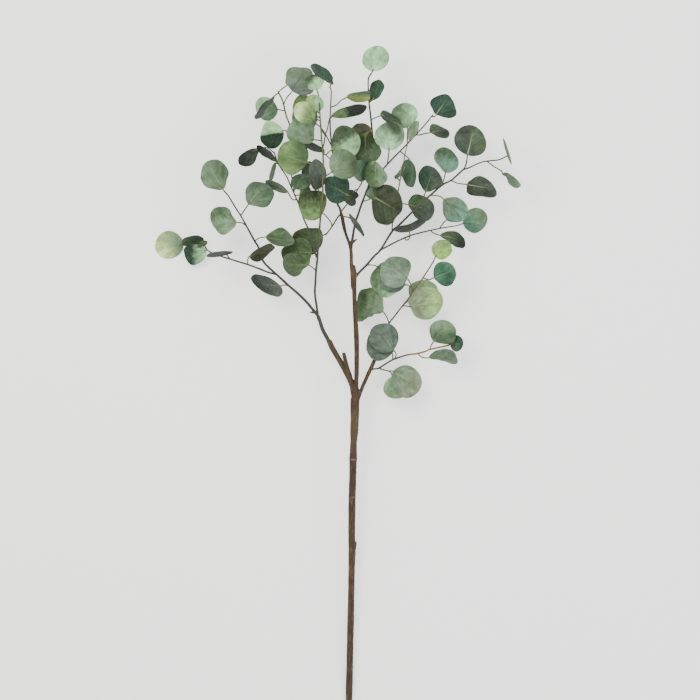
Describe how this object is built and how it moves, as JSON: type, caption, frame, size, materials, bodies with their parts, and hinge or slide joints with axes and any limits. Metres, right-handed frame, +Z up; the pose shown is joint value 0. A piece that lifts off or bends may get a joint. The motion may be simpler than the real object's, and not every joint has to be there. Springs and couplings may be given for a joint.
{
  "type": "eucalyptus branch",
  "caption": "Cut eucalyptus branch with a woody stem, forked twigs and round silver-green leaves, lying on its side for display.",
  "frame": {"origin": "on the surface that the branch lies on, under the middle of its box", "axes": "+Y from the cut end of the stem towards the leafy tips, +Z up from the surface, +X to the right seen from above"},
  "size_m": [0.6066, 1.0984, 0.1456],
  "materials": {
    "bark": "dry brown bark, matt, with paler streaks",
    "leaf": "waxy grey-green leaf, satin"
  },
  "bodies": {
    "root": {"stem": "bark", "spray_left": "leaf", "spray_centre_left": "leaf", "spray_centre_right": "leaf", "spray_right": "leaf", "spray_lower_right": "leaf"}
  },
  "joints": []
}
